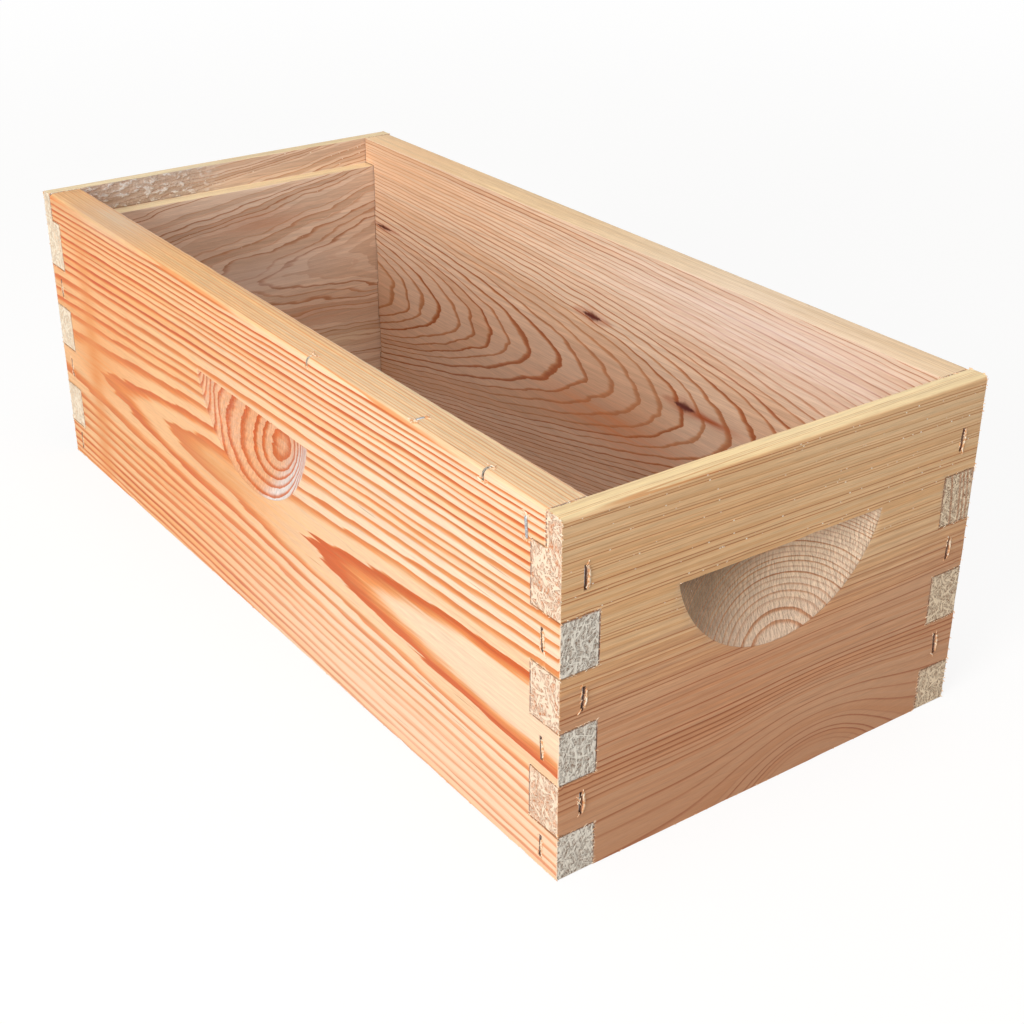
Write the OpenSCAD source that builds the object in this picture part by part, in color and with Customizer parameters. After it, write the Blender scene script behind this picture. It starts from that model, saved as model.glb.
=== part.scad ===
// Medium-depth body of a nuc box: four finger-jointed boards, open at top and bottom.
// Millimetres. Origin at the middle of the bottom rim, X across the frames, Y along them, Z up.

/* [Box] */
// Outside length, along the frames that hang in the box
box_length = 505; // [350:0.5:560]
// Outside width, across the frames
box_width = 232; // [190:0.5:420]
// Height of the four boards
box_height = 168; // [145:0.5:245]
// Thickness of every board
board_t = 19; // [17:0.5:25]
// Radius of the eased outer top edge
edge_r = 2.5; // [0.5:0.1:4]

/* [Corner joints] */
// Height of the top finger, which the end board holds
top_finger_h = 44.5; // [38:0.1:54]
// Height of the bottom finger, which the side board holds
bottom_finger_h = 22; // [18:0.1:30]
// Fingers between the top and the bottom one
middle_fingers = 4; // [2:2:6]
// Gap between the faces of two boards at a joint
joint_gap = 0.3; // [0.1:0.05:0.6]

/* [Frame rests] */
// Height of the rebate that the frame lugs hang in
rest_h = 16; // [12:0.1:20]
// Width of the ledge that the lugs lie on
rest_w = 9.5; // [8:0.1:12]

/* [Hand holds] */
// Width of the straight upper lip
hold_w = 115; // [80:0.5:130]
// Height of the scoop below its lip
hold_h = 46.5; // [30:0.5:55]
// Depth of the scoop at the middle of its lip
hold_depth = 11; // [6:0.1:13]
// Distance of the lip below the top rim
hold_drop = 47; // [40:0.5:70]

/* [Corner staples] */
// Width of the crown
crown_w = 11.1; // [9:0.1:13]
// Length of the legs
leg_l = 32; // [25:0.5:38]
// Distance of a corner staple from the corner of the box
staple_inset = 11.5; // [7:0.1:14]
// Distance of the highest corner staple below the top rim
top_staple_drop = 28; // [24:0.5:34]
// Depth that the crowns are driven below the surface
staple_sink = 0.9; // [0.2:0.1:2]
// Largest lean of a crown away from upright, in degrees
staple_lean = 5; // [0:0.5:10]

/* [Staple wire] */
// Thickness of the flattened wire
wire_t = 1.5; // [1:0.1:2]
// Outer radius of the bends between crown and legs
bend_r = 1; // [0.3:0.1:1]
// Length of the chisel points
point_l = 2.5; // [1:0.1:4]
// Room between the wire and the wood
wire_fit = 0.05; // [0:0.01:0.1]

/* [Stray staple] */
// Distance from the front of the box
stray_from_front = 22; // [20:0.5:40]
// Distance of its middle below the top rim
stray_drop = 12.5; // [10:0.1:14]
// Height that its crown stands proud
stray_proud = 0.6; // [0:0.1:1]
// Wood left behind its points
stray_cover = 3; // [1:0.1:6]

/* [Rim staples] */
// Width of the narrow crowns
rim_crown_w = 6.5; // [5:0.1:8]
// Length of the legs
rim_leg_l = 11; // [8:0.5:14]
// Distance of the flat one from the outer face
rim_inset = 6; // [5:0.1:9]
// Distance of the flat one from the front of the box
rim_from_front = 105; // [60:1:160]
// Distances of the two slanted ones from the front of the box
slant_from_front = [51, 190]; // [40:1:300]
// Depth of a slanted crown below the sharp corner
slant_bite = 2.9; // [2:0.1:4]

/* [Hidden] */
$fn = 64;

// How far a cut reaches past a face
over = 2;
finger_count = middle_fingers + 2;
finger_h = (box_height - top_finger_h - bottom_finger_h) / middle_fingers;
ledge_z = box_height - rest_h;
upstand_t = board_t - rest_w;

// The scoop's rim is an arc cut off by the lip, and its wall is part of a ball
lip_z = box_height - hold_drop;
rim_r = (pow(hold_w / 2, 2) + pow(hold_h, 2)) / (2 * hold_h);
rim_rise = rim_r - hold_h;
ball_out = (pow(hold_w / 2, 2) - pow(hold_depth, 2)) / (2 * hold_depth);
ball_r = norm([ball_out, rim_r]);

side_wood = [0.93, 0.67, 0.42];
end_wood = [0.75, 0.56, 0.36];
zinc = [0.72, 0.72, 0.70];

// Fingers count from 1 at the top: odd ones are on the end boards, even ones on the sides
function finger_top(i) = i == 1 ? box_height : box_height - top_finger_h - (i - 2) * finger_h;
function finger_base(i) = i == finger_count ? 0 : finger_top(i + 1);
function staple_z(i) =
  i == 1 ? box_height - top_staple_drop : (finger_top(i) + finger_base(i)) / 2;

// Hand-driven staples lean a little, each its own way
function lean(i, sx, sy) = staple_lean * sin(140 * i + 50 * sx + 95 * sy);

// Everything at a corner is drawn at the front left and mirrored to the others
module at_corner(sx, sy) {
  mirror([sx > 0 ? 1 : 0, 0, 0]) mirror([0, sy > 0 ? 1 : 0, 0]) children();
}

// Cross-section of a board: outer face at x = 0, bottom at y = 0
module plank_section() {
  difference() {
    square([board_t, box_height]);
    translate([0, box_height - edge_r]) difference() {
      translate([-over, 0]) square([edge_r + over, edge_r + over]);
      translate([edge_r, 0]) circle(edge_r);
    }
  }
}

// Half-moon scoop in an outer face at x = 0, below a flat lip
module hand_hold() {
  intersection() {
    translate([-ball_out, 0, lip_z + rim_rise]) sphere(ball_r, $fn = 128);
    translate([-over, -hold_w, lip_z - 2 * hold_h])
      cube([hold_depth + 2 * over, 2 * hold_w, 2 * hold_h]);
  }
}

// What the front end board's fingers take out of the left side board
module side_sockets() {
  deep = board_t + joint_gap;
  for (i = [1 : 2 : finger_count]) {
    top = i == 1 ? ledge_z : finger_top(i) + joint_gap / 2;
    base = finger_base(i) - joint_gap / 2;
    translate([-box_width / 2 - over, -box_length / 2 - over, base])
      cube([board_t + 2 * over, deep + over, top - base]);
  }
  // Above the ledge only the thin upstand passes, and a tongue stays to close the rebate
  translate([-box_width / 2 - over, -box_length / 2 - over, finger_base(1)])
    cube([board_t + 2 * over, upstand_t + joint_gap + over, top_finger_h + over]);
}

// What the left side board's fingers and tongue take out of the front end board
module end_sockets() {
  deep = board_t + joint_gap;
  for (i = [2 : 2 : finger_count]) {
    base = finger_base(i) - (i == finger_count ? over : joint_gap / 2);
    translate([-box_width / 2 - over, -box_length / 2 - over, base])
      cube([deep + over, board_t + 2 * over, finger_top(i) + joint_gap / 2 - base]);
  }
  translate([-box_width / 2 - over, -box_length / 2 + upstand_t, ledge_z - joint_gap])
    cube([deep + over, rest_w + over, rest_h + joint_gap + over]);
}

// Outline of a staple: crown along x with its top at y = 0, legs down
module staple_outline(crown, leg) {
  inner = crown / 2 - wire_t;
  difference() {
    union() {
      translate([-crown / 2, -leg]) square([crown, leg - bend_r]);
      translate([-crown / 2 + bend_r, -leg]) square([crown - 2 * bend_r, leg]);
      for (s = [-1, 1])
        translate([s * (crown / 2 - bend_r), -bend_r]) circle(bend_r);
    }
    translate([-inner, -leg - over]) square([2 * inner, leg + over - wire_t]);
    for (s = [-1, 1])
      polygon([
        [s * inner, -leg - over], [s * inner, -leg],
        [s * crown / 2, point_l - leg], [s * (crown / 2 + over), point_l - leg],
        [s * (crown / 2 + over), -leg - over]
      ]);
  }
}

// The hole a staple makes, with the slot that its crown leaves up to the surface
module pocket_outline(crown, leg, slot) {
  outer = crown / 2 + wire_fit;
  inner = crown / 2 - wire_t - wire_fit;
  difference() {
    translate([-outer, -leg - wire_fit]) square([2 * outer, leg + wire_fit + slot]);
    translate([-inner, -leg - over]) square([2 * inner, leg + over - wire_t - wire_fit]);
  }
}

// A staple driven down from z = 0, or its pocket where slot is set
module staple(crown, leg, slot = 0) {
  rotate([90, 0, 0])
    if (slot > 0)
      linear_extrude(wire_t + 2 * wire_fit, center = true) pocket_outline(crown, leg, slot);
    else
      linear_extrude(wire_t, center = true) staple_outline(crown, leg);
}

// Staples driven into the end face at a corner, or their pockets
module end_staples(sx, sy, slot = 0) {
  at_corner(sx, sy)
    for (i = [1 : 2 : finger_count])
      translate([staple_inset - box_width / 2, staple_sink - box_length / 2, staple_z(i)])
        rotate([90, 0, 0]) rotate([0, 0, 90 + lean(i, sx, sy)])
          staple(crown_w, leg_l, slot);
}

// Staples driven into the side face at a corner, or their pockets
module side_staples(sx, sy, slot = 0) {
  at_corner(sx, sy)
    for (i = [2 : 2 : finger_count])
      translate([staple_sink - box_width / 2, staple_inset - box_length / 2, staple_z(i)])
        rotate([0, -90, 0]) rotate([0, 0, lean(i, sx, sy)])
          staple(crown_w, leg_l, slot);
}

// One staple that missed the end board and stands proud of the left face, or its pocket
module stray(slot = 0) {
  translate([
    -box_width / 2 - stray_proud, stray_from_front - box_length / 2, box_height - stray_drop
  ])
    rotate([0, -90, 0]) rotate([0, 0, staple_lean])
      staple(crown_w, board_t - stray_cover + stray_proud, slot);
}

// Narrow staples in the left board's top edge, one flat and two across the corner, or their pockets
module rim(slot = 0) {
  translate([rim_inset - box_width / 2, rim_from_front - box_length / 2, box_height])
    staple(rim_crown_w, rim_leg_l, slot);
  for (from_front = slant_from_front)
    translate([-box_width / 2, from_front - box_length / 2, box_height])
      rotate([0, -45, 0]) translate([0, 0, -slant_bite])
        staple(rim_crown_w, rim_leg_l, slot);
}

module corner_pockets(sx, sy) {
  end_staples(sx, sy, staple_sink + over);
  side_staples(sx, sy, staple_sink + over);
}

// The left board before its stray and rim staples; mirrored, it is the right board
module side_board() {
  difference() {
    translate([-box_width / 2, 0, 0])
      rotate([90, 0, 0]) linear_extrude(box_length, center = true) plank_section();
    for (sy = [-1, 1]) at_corner(-1, sy) side_sockets();
    translate([-box_width / 2, 0, 0]) hand_hold();
  }
}

// The front board; mirrored, it is the rear board
module end_board() {
  difference() {
    translate([0, -box_length / 2, 0])
      rotate([90, 0, 90]) linear_extrude(box_width, center = true) plank_section();
    translate([-box_width / 2 - over, -box_length / 2 + upstand_t, ledge_z])
      cube([box_width + 2 * over, rest_w + over, rest_h + over]);
    for (sx = [-1, 1]) at_corner(sx, -1) end_sockets();
    translate([0, -box_length / 2, 0]) rotate([0, 0, 90]) hand_hold();
  }
}

module left_side() {
  color(side_wood) difference() {
    side_board();
    for (sy = [-1, 1]) corner_pockets(-1, sy);
    stray(stray_proud + over);
    rim(slant_bite + over);
  }
}

module right_side() {
  color(side_wood) difference() {
    at_corner(1, -1) side_board();
    for (sy = [-1, 1]) corner_pockets(1, sy);
  }
}

module front_end() {
  color(end_wood) difference() {
    end_board();
    for (sx = [-1, 1]) corner_pockets(sx, -1);
  }
}

module rear_end() {
  color(end_wood) difference() {
    at_corner(-1, 1) end_board();
    for (sx = [-1, 1]) corner_pockets(sx, 1);
  }
}

module front_left_end_staples() { color(zinc) end_staples(-1, -1); }
module front_right_end_staples() { color(zinc) end_staples(1, -1); }
module rear_left_end_staples() { color(zinc) end_staples(-1, 1); }
module rear_right_end_staples() { color(zinc) end_staples(1, 1); }
module front_left_side_staples() { color(zinc) side_staples(-1, -1); }
module front_right_side_staples() { color(zinc) side_staples(1, -1); }
module rear_left_side_staples() { color(zinc) side_staples(-1, 1); }
module rear_right_side_staples() { color(zinc) side_staples(1, 1); }
module stray_staple() { color(zinc) stray(); }
module rim_staples() { color(zinc) rim(); }

left_side();
right_side();
front_end();
rear_end();
front_left_end_staples();
front_right_end_staples();
rear_left_end_staples();
rear_right_end_staples();
front_left_side_staples();
front_right_side_staples();
rear_left_side_staples();
rear_right_side_staples();
stray_staple();
rim_staples();
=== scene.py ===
# %% [markdown]
# # A nuc box in bare wood
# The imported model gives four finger-jointed boards and their staples at real size. This lesson
# dresses them: eased and slightly chipped edges, wood with its own growth rings in each board,
# staple wire, and the torn fibres that a saw and a stapler leave behind.

# %% Load the fixed frame and keep its box
import math
import random
from types import SimpleNamespace

import bmesh
import bpy
import numpy as np
from mathutils import Matrix, Vector, noise
from mathutils.bvhtree import BVHTree


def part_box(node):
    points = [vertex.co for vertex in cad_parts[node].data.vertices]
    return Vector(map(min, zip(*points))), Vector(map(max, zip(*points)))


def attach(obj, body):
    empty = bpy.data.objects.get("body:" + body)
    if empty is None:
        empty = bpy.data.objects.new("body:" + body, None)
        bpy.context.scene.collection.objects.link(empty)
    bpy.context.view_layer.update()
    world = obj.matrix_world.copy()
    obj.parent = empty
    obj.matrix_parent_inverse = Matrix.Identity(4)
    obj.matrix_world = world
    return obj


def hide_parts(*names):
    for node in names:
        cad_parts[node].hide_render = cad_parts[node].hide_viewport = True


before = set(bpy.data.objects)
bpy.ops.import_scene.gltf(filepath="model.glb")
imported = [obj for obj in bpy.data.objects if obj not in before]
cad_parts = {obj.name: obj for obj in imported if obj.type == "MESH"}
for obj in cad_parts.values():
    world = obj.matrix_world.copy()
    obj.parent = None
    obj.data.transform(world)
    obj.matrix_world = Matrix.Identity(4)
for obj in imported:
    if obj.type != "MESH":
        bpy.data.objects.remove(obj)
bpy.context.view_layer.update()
MM = 0.001
side_low, side_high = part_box("left_side")
end_low, end_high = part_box("front_end")
BOX_WIDTH = end_high.x - end_low.x
BOX_LENGTH = side_high.y - side_low.y
BOX_HEIGHT = side_high.z
BOARD = side_high.x - side_low.x
sizes = (BOX_WIDTH, BOX_LENGTH, BOX_HEIGHT, BOARD)
print("box and board", [round(size / MM, 1) for size in sizes])

# %% [markdown]
# ## Camera, floor and light
# The picture looks down on the near left corner. A camera is easiest to set from its place and
# from two angles: azimuth round the box and elevation above the floor. The light is a soft studio
# set: a wide key lamp at the left, a weaker one above, and a pale room all round.

# %% Camera at the photograph's angle
CAMERA_PLACE = (-0.4364, -0.6715, 0.4476)
CAMERA_AZIMUTH = -35.42
CAMERA_ELEVATION = 27.67
CAMERA_LENS = 57.79


def aim(azimuth, elevation):
    """The turn of a camera or lamp that stands at this azimuth and elevation and looks inwards."""
    a, e = math.radians(azimuth), math.radians(elevation)
    back = Vector((math.sin(a) * math.cos(e), -math.cos(a) * math.cos(e), math.sin(e)))
    return (-back).to_track_quat("-Z", "Y").to_matrix(), back


camera_data = bpy.data.cameras.new("photo_camera")
camera_data.lens = CAMERA_LENS
camera = bpy.data.objects.new("photo_camera", camera_data)
bpy.context.collection.objects.link(camera)
camera.location = CAMERA_PLACE
camera.rotation_euler = aim(CAMERA_AZIMUTH, CAMERA_ELEVATION)[0].to_euler()
bpy.context.scene.camera = camera
bpy.context.scene.view_settings.view_transform = "Standard"
print("camera", CAMERA_PLACE, "lens", CAMERA_LENS)

# %% Helpers that build node trees


def add(tree, kind, inputs=(), **settings):
    """Adds a node; inputs are values or other nodes' sockets, by place or by name."""
    made = tree.nodes.new(kind)
    for key, value in settings.items():
        setattr(made, key, value)
    pairs = inputs.items() if isinstance(inputs, dict) else enumerate(inputs)
    for key, value in pairs:
        if isinstance(value, bpy.types.NodeSocket):
            tree.links.new(value, made.inputs[key])
        elif value is not None:
            made.inputs[key].default_value = value
    return made


def calc(tree, operation, *values):
    """One Math node's result."""
    return add(tree, "ShaderNodeMath", values, operation=operation).outputs[0]


def product(tree, first, *others):
    """Several values multiplied."""
    for other in others:
        first = calc(tree, "MULTIPLY", first, other)
    return first


def vector_calc(tree, operation, *values):
    """One Vector Math node; its vector result, or its number where it has one."""
    made = add(tree, "ShaderNodeVectorMath", values, operation=operation)
    return made.outputs["Value" if operation in ("LENGTH", "DOT_PRODUCT") else "Vector"]


def ramp(tree, value, low, high, to_low=0.0, to_high=1.0):
    """A soft step of value from low to high."""
    made = add(tree, "ShaderNodeMapRange", [value, low, high, to_low, to_high])
    made.interpolation_type = "SMOOTHSTEP"
    return made.outputs[0]


def blend_colour(tree, share, first, second, mode="MIX"):
    """Mixes two colours by share."""
    made = tree.nodes.new("ShaderNodeMix")
    made.data_type = "RGBA"
    made.blend_type = mode
    for place, value in ((0, share), (6, first), (7, second)):
        if isinstance(value, bpy.types.NodeSocket):
            tree.links.new(value, made.inputs[place])
        else:
            made.inputs[place].default_value = value
    return made.outputs[2]


def srgb(red, green, blue):
    """A colour as a screen shows it, 0 to 255, in the linear values that shaders use."""
    def linear(c):
        c /= 255
        return c / 12.92 if c <= 0.04045 else ((c + 0.055) / 1.055) ** 2.4
    return (linear(red), linear(green), linear(blue), 1.0)


def new_group(name, inputs, outputs):
    """An empty shader node group with named sockets, and its two end nodes."""
    group = bpy.data.node_groups.new(name, "ShaderNodeTree")
    for direction, sockets in (("INPUT", inputs), ("OUTPUT", outputs)):
        for label, kind, *default in sockets:
            socket = group.interface.new_socket(label, in_out=direction, socket_type="NodeSocket" + kind)
            if default:
                socket.default_value = default[0]
    return group, add(group, "NodeGroupInput").outputs, add(group, "NodeGroupOutput").inputs


def new_material(name):
    """A material with a Principled shader, and its tree."""
    material = bpy.data.materials.new(name)
    material.use_nodes = True
    tree = material.node_tree
    tree.nodes.clear()
    shader = add(tree, "ShaderNodeBsdfPrincipled")
    add(tree, "ShaderNodeOutputMaterial", [shader.outputs[0]])
    return material, tree, shader


# %% Floor, room and lamps
ROOM_LIGHT = 0.38
FLOOR_SIZE = 12.0
FLOOR_DROP = 0.1 * MM
FLOOR_COLOUR = srgb(205, 203, 200)
FLOOR_GLOW = 0.72
FLOOR_WHITE = 1.17
FADE_FROM = 0.6
FADE_TO = 2.2
LAMP_DISTANCE = 2.4


def shown_white(tree):
    """1 for the camera, shiny metal and glass, which see a white background, and 0 for other light."""
    path = add(tree, "ShaderNodeLightPath").outputs
    seen = calc(tree, "ADD", path["Is Camera Ray"], path["Is Glossy Ray"])
    seen = calc(tree, "ADD", seen, path["Is Transmission Ray"])
    return calc(tree, "MINIMUM", seen, 1.0)


def pale_floor():
    """A wide pale floor that keeps the box's soft shadow and fades to white far away."""
    material = bpy.data.materials.new("pale_floor")
    material.use_nodes = True
    tree = material.node_tree
    tree.nodes.clear()
    matt = add(tree, "ShaderNodeBsdfDiffuse", [FLOOR_COLOUR])
    where = add(tree, "ShaderNodeTexCoord").outputs["Object"]
    far = ramp(tree, vector_calc(tree, "LENGTH", where), FADE_FROM, FADE_TO)
    white = calc(tree, "MULTIPLY_ADD", far, 1.0 - FLOOR_WHITE, FLOOR_WHITE)
    glow = add(tree, "ShaderNodeEmission", [(1, 1, 1, 1), white])
    share = calc(tree, "MULTIPLY_ADD", far, 1.0 - FLOOR_GLOW, FLOOR_GLOW)
    share = product(tree, shown_white(tree), share)
    both = add(tree, "ShaderNodeMixShader", [share, matt.outputs[0], glow.outputs[0]])
    add(tree, "ShaderNodeOutputMaterial", [both.outputs[0]])
    mesh = bpy.data.meshes.new("floor")
    half = FLOOR_SIZE / 2
    corners = [(-half, -half, 0), (half, -half, 0), (half, half, 0), (-half, half, 0)]
    mesh.from_pydata(corners, [], [(0, 1, 2, 3)])
    mesh.materials.append(material)
    floor = bpy.data.objects.new("floor", mesh)
    floor.location.z = -FLOOR_DROP
    bpy.context.collection.objects.link(floor)


def pale_room():
    """White to the camera and to shiny metal, and a softer light on everything else."""
    world = bpy.data.worlds.new("pale_room")
    world.use_nodes = True
    tree = world.node_tree
    tree.nodes.clear()
    strength = add(tree, "ShaderNodeMapRange", [shown_white(tree), 0.0, 1.0, ROOM_LIGHT, 1.0])
    sky = add(tree, "ShaderNodeBackground", [(1, 1, 1, 1), strength.outputs[0]])
    add(tree, "ShaderNodeOutputWorld", [sky.outputs[0]])
    bpy.context.scene.world = world


def lamp(name, azimuth, elevation, distance, size, watts, colour):
    """A square soft lamp aimed at the middle of the box."""
    data = bpy.data.lights.new(name, "AREA")
    data.shape = "SQUARE"
    data.size = size
    data.energy = watts
    data.color = colour
    turn, back = aim(azimuth, elevation)
    made = bpy.data.objects.new(name, data)
    made.location = back * distance + Vector((0, 0, BOX_HEIGHT / 2))
    made.rotation_euler = turn.to_euler()
    bpy.context.collection.objects.link(made)


pale_floor()
pale_room()
lamp("key_lamp", -70, 20, LAMP_DISTANCE, 1.0, 39.5, (1.0, 0.98, 0.95))
lamp("top_lamp", -20, 80, LAMP_DISTANCE, 1.6, 21, (1.0, 0.98, 0.96))

# %% [markdown]
# ## Growth rings
# Each board is a slice of a log, so its figure is a solid pattern: rings are distances from the
# pith, and wherever the board is cut, on a face, a scoop or an end, the same rings show. Painted
# planks would not agree round an edge. All groups work in board coordinates in millimetres:
# depth from the outer face, length along the grain, and height.

# %% Helpers for patterns


def noise_at(tree, place, scale, seed, detail=2.0, roughness=0.5):
    """Noise from 0 to 1; scale stretches it, and seed keeps boards from sharing one pattern."""
    spot = vector_calc(tree, "MULTIPLY", place, scale)
    inputs = {"Vector": spot, "W": seed, "Scale": 1.0, "Detail": detail, "Roughness": roughness}
    return add(tree, "ShaderNodeTexNoise", inputs, noise_dimensions="4D").outputs[0]


def centred(tree, value, reach):
    """Moves a value of 0 to 1 to lie about zero, reach wide."""
    return product(tree, calc(tree, "SUBTRACT", value, 0.5), reach)


def white_noise(tree, number):
    """A random value of 0 to 1 for each whole number."""
    return add(tree, "ShaderNodeTexWhiteNoise", {"W": number}, noise_dimensions="1D").outputs["Value"]


# %% Growth ring group
SWAY_SCALE = (0.018, 0.0045, 0.018)
SHIVER_SCALE = (0.09, 0.03, 0.09)
FEATHER_SCALE = (0.3, 0.009, 0.3)
NOISE_GAIN = 4.0
UNEVEN_RATE = 0.13
UNEVEN_RINGS = 1.6


def make_growth_rings():
    """Rings round a leaning pith, uneven in width and feathered by the fibres they run through."""
    group, given, out = new_group(
        "growth_rings",
        [
            ("Position", "Vector"), ("Pith", "Vector"), ("Lean", "Vector"), ("Ring width", "Float", 1.5),
            ("Wobble", "Float", 2.0), ("Ripple", "Float", 0.2), ("Feather", "Float", 0.1),
            ("Offset", "Float", 0.0), ("Phase", "Float", 0.0), ("Late from", "Float", 0.35),
            ("Seed", "Float", 0.0),
        ],
        [("Late", "Float"), ("Tone", "Float"), ("Cast", "Float")],
    )
    place, seed = given["Position"], given["Seed"]
    along = add(group, "ShaderNodeSeparateXYZ", [place]).outputs["Y"]
    along = add(group, "ShaderNodeCombineXYZ", [along, along, along]).outputs[0]
    pith = vector_calc(group, "MULTIPLY_ADD", given["Lean"], along, given["Pith"])
    spoke = vector_calc(group, "MULTIPLY", vector_calc(group, "SUBTRACT", place, pith), (1, 0, 1))
    radius = calc(group, "ADD", vector_calc(group, "LENGTH", spoke), given["Offset"])
    for scale, reach in ((SWAY_SCALE, given["Wobble"]), (SHIVER_SCALE, given["Ripple"])):
        sway = noise_at(group, place, scale, seed, 2.5, 0.45)
        radius = calc(group, "ADD", radius, centred(group, sway, product(group, reach, NOISE_GAIN)))
    inputs = {"W": calc(group, "MULTIPLY_ADD", radius, UNEVEN_RATE, seed), "Scale": 1.0, "Detail": 2.0}
    uneven = add(group, "ShaderNodeTexNoise", inputs, noise_dimensions="1D").outputs[0]
    years = calc(group, "ADD", calc(group, "DIVIDE", radius, given["Ring width"]), given["Phase"])
    years = calc(group, "ADD", years, centred(group, uneven, UNEVEN_RINGS))
    feather = noise_at(group, place, FEATHER_SCALE, seed, 5.0, 0.62)
    feather = centred(group, feather, product(group, given["Feather"], NOISE_GAIN))
    years = calc(group, "ADD", years, feather)
    part = calc(group, "FRACT", years)
    whole = calc(group, "ADD", calc(group, "FLOOR", years), seed)
    late = ramp(group, part, given["Late from"], 0.9)
    late = product(group, late, ramp(group, part, 0.95, 1.0, 1.0, 0.0))
    group.links.new(late, out["Late"])
    group.links.new(white_noise(group, whole), out["Tone"])
    group.links.new(white_noise(group, calc(group, "ADD", whole, 0.37)), out["Cast"])
    return group


growth_rings = make_growth_rings()
print("group", growth_rings.name)

# %% Fibre and swelling groups
FIBRES = (
    ("Streak", (0.55, 0.012, 0.55), 4.0),
    ("Hair", (3.2, 0.09, 3.2), 2.0),
    ("Patch", (0.012, 0.004, 0.012), 2.0),
)
CANAL_SCALE = (0.45, 0.012, 0.45)
CANAL_SHARE = 0.5


def make_fibre():
    """Streaks and hairs along the grain, slow patches of colour, and short resin canals."""
    group, given, out = new_group(
        "fibre", [("Position", "Vector"), ("Seed", "Float", 0.0)],
        [("Streak", "Float"), ("Hair", "Float"), ("Patch", "Float"), ("Canal", "Float")],
    )
    for label, scale, detail in FIBRES:
        value = noise_at(group, given["Position"], scale, given["Seed"], detail, 0.6)
        group.links.new(ramp(group, value, 0.25, 0.75), out[label])
    place = vector_calc(group, "MULTIPLY", given["Position"], CANAL_SCALE)
    cell = add(group, "ShaderNodeTexVoronoi", {"Vector": place, "Scale": 1.0}).outputs
    chosen = add(group, "ShaderNodeSeparateColor", [cell["Color"]]).outputs[0]
    line = ramp(group, cell["Distance"], 0.05, 0.15, 1.0, 0.0)
    line = product(group, line, calc(group, "LESS_THAN", chosen, CANAL_SHARE))
    group.links.new(line, out["Canal"])
    return group


def make_swell():
    """A smooth hump, as round a hidden knot or in a soft stain."""
    group, given, out = new_group(
        "swell",
        [("Position", "Vector"), ("Centre", "Vector"), ("Size", "Vector"), ("Height", "Float", 0.0)],
        [("Offset", "Float")],
    )
    away = vector_calc(group, "SUBTRACT", given["Position"], given["Centre"])
    away = vector_calc(group, "DIVIDE", away, given["Size"])
    square = vector_calc(group, "DOT_PRODUCT", away, away)
    bell = calc(group, "EXPONENT", product(group, square, -1.0))
    group.links.new(product(group, bell, given["Height"]), out["Offset"])
    return group


fibre = make_fibre()
swell = make_swell()
print("groups", fibre.name, swell.name)

# %% Knot, end-grain and sparkle groups
STRAND_TURNS = (18.0, 74.0, -38.0, -70.0)
STRAND_SIZE = (5.5, 2.5, 1.35)
DROP_SCALE = (0.55, 0.4, 0.55)


def make_knot():
    """A small dark knot, pointed along the grain, with warm resin round it."""
    group, given, out = new_group(
        "knot", [("Position", "Vector"), ("Centre", "Vector"), ("Size", "Vector")],
        [("Core", "Float"), ("Halo", "Float")],
    )
    ragged = add(group, "ShaderNodeTexNoise", {"Vector": given["Position"], "Scale": 0.5, "Detail": 2.0})
    place = vector_calc(group, "MULTIPLY_ADD", ragged.outputs["Color"], (0.0, 1.6, 1.2), given["Position"])
    away = vector_calc(group, "SUBTRACT", place, given["Centre"])
    away = vector_calc(group, "DIVIDE", away, given["Size"])
    away = add(group, "ShaderNodeSeparateXYZ", [vector_calc(group, "ABSOLUTE", away)]).outputs
    for label, reach, soft in (("Core", 1.0, 0.1), ("Halo", 2.2, 0.0)):
        taper = calc(group, "MAXIMUM", calc(group, "SUBTRACT", reach, away["Y"]), 0.02)
        lens = ramp(group, calc(group, "DIVIDE", away["Z"], taper), soft, 1.15, 1.0, 0.0)
        lens = product(group, lens, ramp(group, away["Y"], 0.6 * reach, reach, 1.0, 0.0))
        group.links.new(lens, out[label])
    return group


def make_end_grain():
    """Matted fibre ends, as a saw leaves them across the grain: pale strands that cross over dark gaps."""
    group, given, out = new_group(
        "end_grain", [("Position", "Vector"), ("Seed", "Float", 0.0)],
        [("Strand", "Float"), ("Pit", "Float")],
    )
    matted = None
    for turn in STRAND_TURNS:
        tilt = (0, math.radians(turn), 0)
        inputs = {"Vector": given["Position"], "Rotation": tilt, "Scale": STRAND_SIZE}
        place = add(group, "ShaderNodeMapping", inputs, vector_type="TEXTURE").outputs[0]
        seed = calc(group, "ADD", given["Seed"], turn)
        inputs = {"Vector": place, "W": seed, "Scale": 1.0, "Detail": 1.0, "Distortion": 0.6}
        strand = add(group, "ShaderNodeTexNoise", inputs, noise_dimensions="4D").outputs[0]
        strand = ramp(group, strand, 0.53, 0.63)
        matted = strand if matted is None else calc(group, "MAXIMUM", matted, strand)
    pit = noise_at(group, given["Position"], (0.9, 0.9, 0.9), given["Seed"], 3.0, 0.65)
    group.links.new(matted, out["Strand"])
    group.links.new(ramp(group, pit, 0.32, 0.62), out["Pit"])
    return group


def make_sparkle():
    """Rows of tiny resin drops that sit in the lines of the grain."""
    group, given, out = new_group(
        "sparkle", [("Position", "Vector"), ("Amount", "Float", 0.1)], [("Drop", "Float")],
    )
    place = vector_calc(group, "MULTIPLY", given["Position"], DROP_SCALE)
    cell = add(group, "ShaderNodeTexVoronoi", {"Vector": place, "Scale": 1.0}).outputs
    chosen = add(group, "ShaderNodeSeparateColor", [cell["Color"]]).outputs[0]
    dot = ramp(group, cell["Distance"], 0.15, 0.23, 1.0, 0.0)
    kept = calc(group, "LESS_THAN", chosen, given["Amount"])
    group.links.new(product(group, dot, kept), out["Drop"])
    return group


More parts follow.
